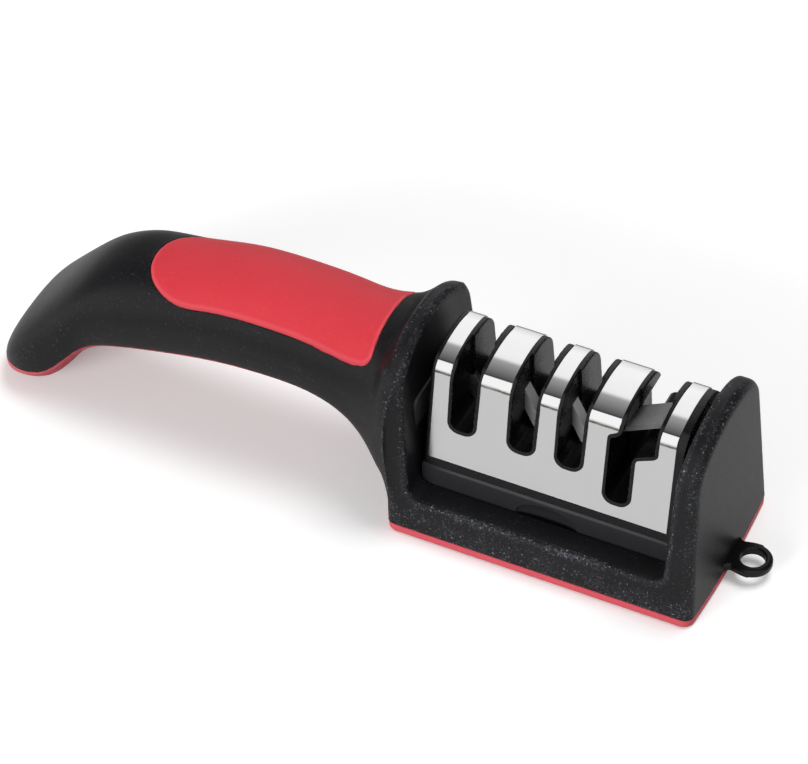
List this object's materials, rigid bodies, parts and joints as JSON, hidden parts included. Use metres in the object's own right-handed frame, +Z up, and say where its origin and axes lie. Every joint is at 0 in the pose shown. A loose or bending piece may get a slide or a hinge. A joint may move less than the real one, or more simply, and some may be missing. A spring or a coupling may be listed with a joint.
{
  "type": "pull through knife sharpener",
  "caption": "Pull-through knife sharpener with an arched soft-grip handle, a lift-out steel-covered cartridge with slots, a non-slip base and a hanging ring.",
  "frame": {"origin": "middle of the overall length and width, on the surface that the sharpener stands on", "axes": "+X along the sharpener from the handle's tail to the hanging ring, +Y across it away from the user, +Z up"},
  "size_m": [0.2064, 0.05, 0.0528],
  "materials": {
    "black_rubber": "matte, fine grain",
    "red_rubber": "satin",
    "black_plastic": "semi-gloss",
    "inner_plastic": "matte",
    "satin_steel": "satin front and back, polished crown",
    "screw_steel": "plain",
    "carbide": "ground",
    "diamond_grit": "gritty",
    "ceramic": "matte"
  },
  "bodies": {
    "base": {"soft_shell": "black_rubber", "grip_inlay": "red_rubber", "underside_strip": "red_rubber", "handle_core_front": "inner_plastic", "handle_core_back": "inner_plastic", "handle_screws": "screw_steel", "base_frame": "inner_plastic", "base_plate": "black_plastic", "base_screws": "screw_steel", "base_pad": "red_rubber"},
    "cartridge": {"cartridge_tray": "black_plastic", "cartridge_core_front": "black_plastic", "cartridge_core_back": "black_plastic", "steel_cover": "satin_steel", "cartridge_screws": "screw_steel", "carbide_blade_front": "carbide", "carbide_blade_back": "carbide", "diamond_rod_front": "diamond_grit", "diamond_rod_back": "diamond_grit", "ceramic_rod_front": "ceramic", "ceramic_rod_back": "ceramic", "scissor_plate": "ceramic"}
  },
  "joints": [
    {"name": "cartridge_lift", "type": "slide", "parent": "base", "child": "cartridge", "axis": [0, 0, 1], "range_m": [0, 0.05]}
  ]
}
